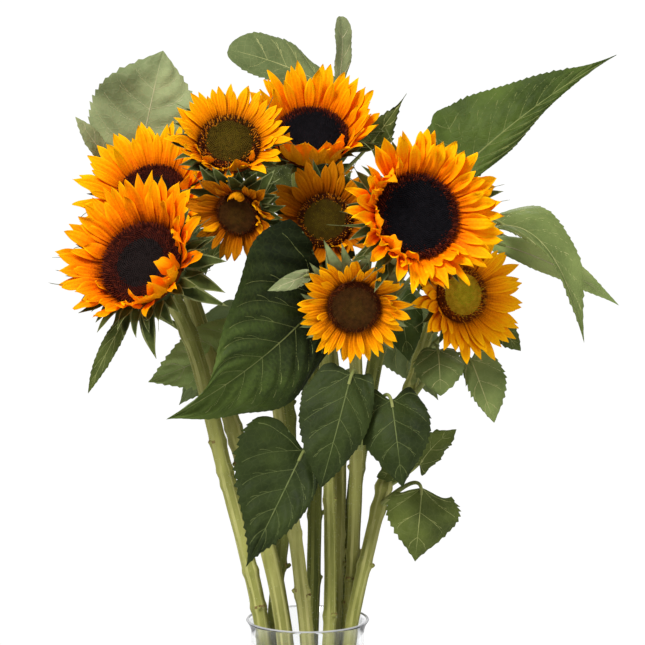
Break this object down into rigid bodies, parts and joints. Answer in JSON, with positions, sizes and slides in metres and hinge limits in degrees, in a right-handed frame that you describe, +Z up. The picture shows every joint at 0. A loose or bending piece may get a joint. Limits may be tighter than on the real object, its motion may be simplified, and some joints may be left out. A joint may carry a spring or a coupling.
{
  "type": "bunch of cut sunflowers in a glass vase",
  "caption": "Bunch of cut sunflowers with orange-yellow petals, dark and olive seed discs and heart-shaped leaves, standing in a clear glass vase with a flared lip.",
  "frame": {"origin": "centre of the vase's flat underside", "axes": "+Z up along the vase's axis; the bunch's best side faces -Y, as in the picture, and +X is the viewer's right"},
  "size_m": [0.5653, 0.3235, 0.853],
  "materials": {
    "glass": "clear and polished",
    "stalk": "ribbed green stem with short hairs",
    "leaf": "matt leaf with paler veins",
    "petal": "soft satin petal",
    "disc_dark": "rough, near-black florets",
    "disc_olive": "rough, olive-brown florets"
  },
  "bodies": {
    "root": {"vase": "glass", "stalk_1": "stalk", "petals_1": "petal", "seed_disc_1": "disc_dark", "stalk_2": "stalk", "petals_2": "petal", "seed_disc_2": "disc_dark", "stalk_3": "stalk", "petals_3": "petal", "seed_disc_3": "disc_olive", "stalk_4": "stalk", "petals_4": "petal", "seed_disc_4": "disc_dark", "stalk_5": "stalk", "petals_5": "petal", "seed_disc_5": "disc_olive", "stalk_6": "stalk", "petals_6": "petal", "seed_disc_6": "disc_olive", "stalk_7": "stalk", "petals_7": "petal", "seed_disc_7": "disc_dark", "stalk_8": "stalk", "petals_8": "petal", "seed_disc_8": "disc_olive", "stalk_9": "stalk", "petals_9": "petal", "seed_disc_9": "disc_olive", "stalk_10": "stalk", "petals_10": "petal", "seed_disc_10": "disc_olive", "leaf_top_left": "leaf", "leaf_far_left": "leaf", "leaf_crest": "leaf", "leaf_crest_tip": "leaf", "leaf_top_right": "leaf", "leaf_between": "leaf", "leaf_right_arch": "leaf", "leaf_right_back": "leaf", "leaf_great": "leaf", "leaf_left_back": "leaf", "leaf_middle": "leaf", "leaf_middle_right": "leaf", "leaf_low_left": "leaf", "leaf_low_right": "leaf", "leaf_right_upper": "leaf", "leaf_right_hanging": "leaf", "leaf_curled_right": "leaf", "leaf_curled_left": "leaf", "leaf_under_right": "leaf", "leaf_right_small": "leaf", "leaf_beside_small": "leaf", "leaf_left_hanging": "leaf", "leaf_left_inner": "leaf", "leaf_back_high_left": "leaf", "leaf_back_high_right": "leaf", "leaf_back_left": "leaf", "leaf_back_right": "leaf", "leaf_back_middle": "leaf"}
  },
  "joints": []
}
